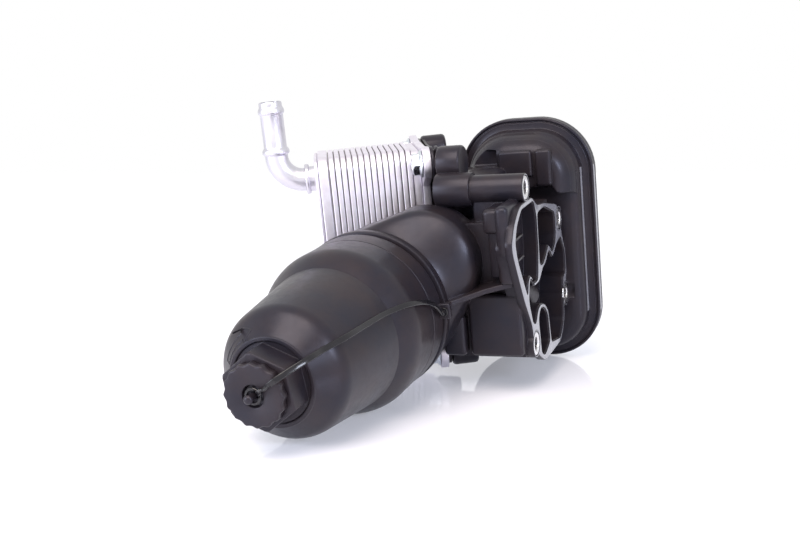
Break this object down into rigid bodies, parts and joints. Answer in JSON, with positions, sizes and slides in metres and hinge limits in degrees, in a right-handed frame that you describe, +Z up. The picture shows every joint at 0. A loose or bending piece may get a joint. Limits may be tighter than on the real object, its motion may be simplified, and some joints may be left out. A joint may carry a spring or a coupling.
{
  "type": "engine oil cooler",
  "caption": "Engine oil cooler module: stacked-plate cooler with coolant pipe on a black plastic filter housing, screw cap with drain plug, engine flange and breather chamber.",
  "frame": {"origin": "on the floor under the middle of the part's box, as it rests on its cap, its cover and the cooler's lower edge", "axes": "+Z up, +Y along the filter's axis seen from above, from the cap to the rear cover, +X towards the engine"},
  "size_m": [0.2138, 0.3212, 0.1848],
  "materials": {
    "housing_plastic": "black glass-filled plastic, soft sheen",
    "cap_plastic": "black glass-filled plastic, soft sheen",
    "strap_plastic": "smooth flexible black plastic",
    "cooler_aluminium": "bright brazed sheet",
    "pipe_aluminium": "bright drawn tube",
    "bolt_steel": "bright zinc plate",
    "steel": "turned steel",
    "seal_rubber": "black rubber",
    "filter_paper": "pleated tan paper",
    "inner_plastic": "dark grey plastic"
  },
  "bodies": {
    "module": {"housing": "housing_plastic", "breather_cover": "housing_plastic", "flange_sleeve_1": "steel", "flange_sleeve_2": "steel", "flange_sleeve_3": "steel", "flange_sleeve_4": "steel", "support_cage": "inner_plastic", "bypass_spring": "steel", "drain_back_valve": "seal_rubber", "cooler_base_plate": "cooler_aluminium", "cooler_spacer_plate": "cooler_aluminium", "cooler_plates": "cooler_aluminium", "cooler_wide_plate": "cooler_aluminium", "cooler_end_plate": "cooler_aluminium", "port_seal_1": "seal_rubber", "port_seal_2": "seal_rubber", "cooler_bolt_1": "bolt_steel", "cooler_bolt_2": "bolt_steel", "cooler_bolt_3": "bolt_steel", "cooler_bolt_4": "bolt_steel", "coolant_pipe": "pipe_aluminium", "pipe_ferrule": "pipe_aluminium"},
    "cap_carrier": {"filter_element": "filter_paper", "element_cap_front": "inner_plastic", "element_cap_rear": "inner_plastic"},
    "cap": {"filter_cap": "cap_plastic", "cap_seal": "seal_rubber", "tether_strap": "strap_plastic"},
    "plug_carrier": {"drain_plug_seal": "seal_rubber"},
    "plug": {"drain_plug": "cap_plastic"},
    "valve": {"bypass_valve": "inner_plastic"}
  },
  "joints": [
    {"name": "cap_travel", "type": "slide", "parent": "module", "child": "cap_carrier", "axis": [0, -0.991, -0.1342], "range_m": [0, 0.012]},
    {"name": "cap_turn", "type": "hinge", "parent": "cap_carrier", "child": "cap", "pos_m": [-0.00453, -0.13523, 0.0371], "axis": [0, -0.991, -0.1342], "range_deg": [0, 1080.1]},
    {"name": "plug_travel", "type": "slide", "parent": "cap", "child": "plug_carrier", "axis": [0, -0.991, -0.1342], "range_m": [0, 0.00112]},
    {"name": "plug_turn", "type": "hinge", "parent": "plug_carrier", "child": "plug", "pos_m": [-0.00453, -0.13523, 0.0371], "axis": [0, -0.991, -0.1342], "range_deg": [0, 270.1]},
    {"name": "bypass_slide", "type": "slide", "parent": "module", "child": "valve", "axis": [0, 0.991, 0.1342], "range_m": [0, 0.005], "stiffness_N_per_m": 600, "springref_m": -0.008, "deforming": ["bypass_spring"]}
  ],
  "couplings": [
    {"joint": "cap_turn", "follows": "cap_travel", "rad_per_m": 1570.8},
    {"joint": "plug_turn", "follows": "plug_travel", "rad_per_m": 4188.8}
  ]
}
